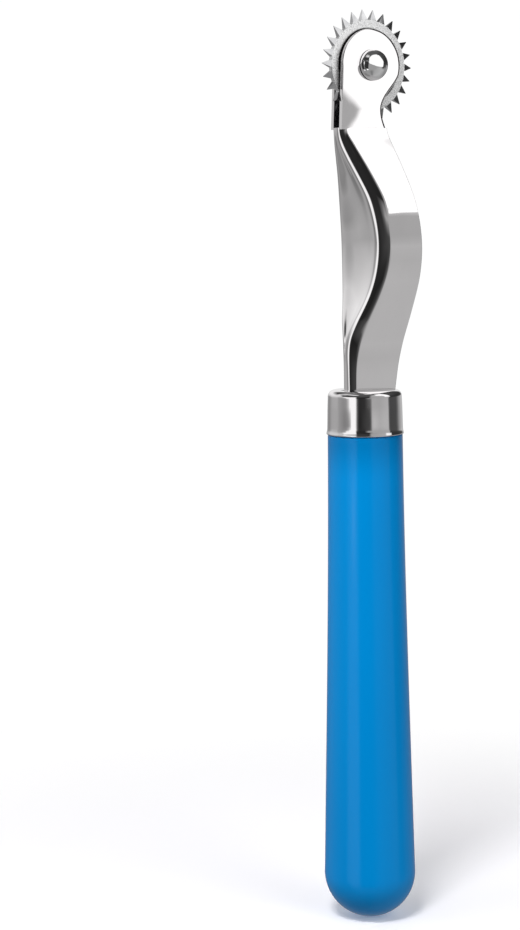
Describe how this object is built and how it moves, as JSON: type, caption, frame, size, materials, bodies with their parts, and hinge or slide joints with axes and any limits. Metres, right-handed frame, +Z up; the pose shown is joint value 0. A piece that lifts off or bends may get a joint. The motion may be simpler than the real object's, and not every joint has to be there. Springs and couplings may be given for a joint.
{
  "type": "pastry cutter wheel",
  "caption": "Hand-held toothed pastry wheel: a free-running pointed steel wheel in a folded chrome fork with a dished finger rest, on a ferruled round plastic handle.",
  "frame": {"origin": "on the vertical line through the wheel's centre, at the level of the handle's butt: the bottom centre of the bounding box. The handle's own axis is 1.27 mm behind it, at X = -1.27 mm", "axes": "+Z up the tool from the butt to the wheel, +Y along the wheel's axle towards the closed rivet head, +X to the open side of the folded fork, so the finger rest faces -X"},
  "size_m": [0.0196, 0.0166, 0.165],
  "materials": {
    "handle_plastic": "smooth glossy moulding",
    "ferrule_chrome": "bright plated, drawn",
    "fork_chrome": "mirror-bright plated sheet",
    "wheel_steel": "fine matt blasted faces, ground tooth bevels",
    "bush_steel": "turned",
    "rivet_chrome": "polished dome"
  },
  "bodies": {
    "tool": {"handle": "handle_plastic", "ferrule": "ferrule_chrome", "fork": "fork_chrome", "axle_bush": "bush_steel", "axle_rivet": "rivet_chrome"},
    "wheel": {"toothed_wheel": "wheel_steel"}
  },
  "joints": [
    {"name": "wheel_spin", "type": "hinge", "parent": "tool", "child": "wheel", "pos_m": [0, 0, 0.1552], "axis": [0, 1, 0], "continuous": true}
  ]
}
